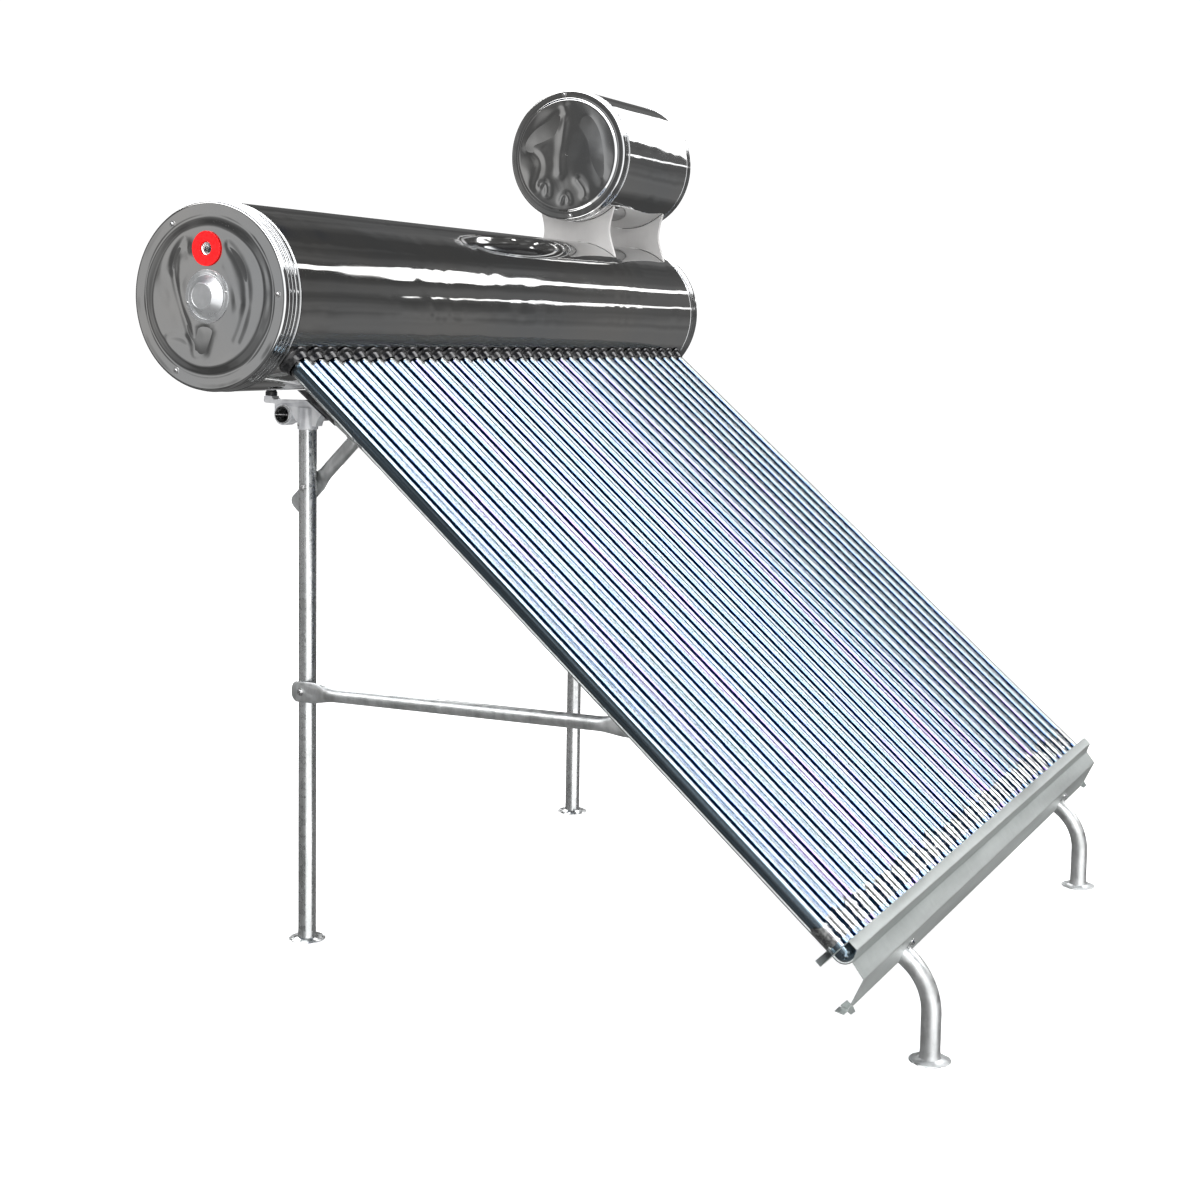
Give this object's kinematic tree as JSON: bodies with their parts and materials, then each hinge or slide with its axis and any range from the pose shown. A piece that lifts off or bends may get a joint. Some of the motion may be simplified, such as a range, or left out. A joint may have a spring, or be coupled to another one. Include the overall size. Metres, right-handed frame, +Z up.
{
  "type": "solar water heater",
  "caption": "Evacuated-tube solar water heater: a long horizontal tank with a feeder tank on top, a sloping bank of glass tubes and a galvanised stand.",
  "frame": {"origin": "on the ground, at the middle of the footprint of the whole heater", "axes": "+Z up; X along the tank, with the heater port and hot-water outlet at the -X end; the tubes slope down towards -Y"},
  "size_m": [2.461, 2.044, 2.487],
  "materials": {
    "mirror_steel": "mirror-polished stainless sheet, slightly wavy",
    "liner_steel": "plain stainless sheet, inside the foam",
    "galvanised": "blotchy galvanised tube",
    "cast_metal": "matt grey casting",
    "saddle_sheet": "pale matt folded sheet",
    "channel_sheet": "grey-green galvanised folded sheet",
    "tube_glass": "clear glass over a dark blue absorber, silvered at the tail",
    "socket_chrome": "bright plated socket",
    "red_rubber": "smooth red silicone",
    "cover_grey": "satin grey"
  },
  "bodies": {
    "root": {"evacuated_tube_01": "tube_glass", "evacuated_tube_02": "tube_glass", "evacuated_tube_03": "tube_glass", "evacuated_tube_04": "tube_glass", "evacuated_tube_05": "tube_glass", "evacuated_tube_06": "tube_glass", "evacuated_tube_07": "tube_glass", "evacuated_tube_08": "tube_glass", "evacuated_tube_09": "tube_glass", "evacuated_tube_10": "tube_glass", "evacuated_tube_11": "tube_glass", "evacuated_tube_12": "tube_glass", "evacuated_tube_13": "tube_glass", "evacuated_tube_14": "tube_glass", "evacuated_tube_15": "tube_glass", "evacuated_tube_16": "tube_glass", "evacuated_tube_17": "tube_glass", "evacuated_tube_18": "tube_glass", "evacuated_tube_19": "tube_glass", "evacuated_tube_20": "tube_glass", "evacuated_tube_21": "tube_glass", "evacuated_tube_22": "tube_glass", "evacuated_tube_23": "tube_glass", "evacuated_tube_24": "tube_glass", "evacuated_tube_25": "tube_glass", "evacuated_tube_26": "tube_glass", "evacuated_tube_27": "tube_glass", "evacuated_tube_28": "tube_glass", "evacuated_tube_29": "tube_glass", "evacuated_tube_30": "tube_glass", "evacuated_tube_31": "tube_glass", "evacuated_tube_32": "tube_glass", "evacuated_tube_33": "tube_glass", "evacuated_tube_34": "tube_glass", "evacuated_tube_35": "tube_glass", "evacuated_tube_36": "tube_glass", "tank_shell": "mirror_steel", "end_cap_left": "mirror_steel", "end_cap_right": "mirror_steel", "feeder_tank_shell": "mirror_steel", "feeder_cap_left": "mirror_steel", "feeder_cap_right": "mirror_steel", "inner_tank": "liner_steel", "outlet_socket": "socket_chrome", "outlet_seal_ring": "red_rubber", "saddle_left": "saddle_sheet", "saddle_right": "saddle_sheet", "rear_leg_left": "galvanised", "rear_leg_right": "galvanised", "front_rail_left": "galvanised", "front_rail_right": "galvanised", "diagonal_brace_left": "galvanised", "diagonal_brace_right": "galvanised", "mid_brace_left": "galvanised", "mid_brace_right": "galvanised", "cross_tube": "galvanised", "leg_bracket_left": "cast_metal", "leg_bracket_right": "cast_metal", "tail_channel": "channel_sheet"},
    "port_cover": {"heater_port_cover": "cover_grey"}
  },
  "joints": [
    {"name": "port_cover_slide", "type": "slide", "parent": "root", "child": "port_cover", "axis": [-1, 0, 0], "range_m": [0, 0.06]}
  ]
}
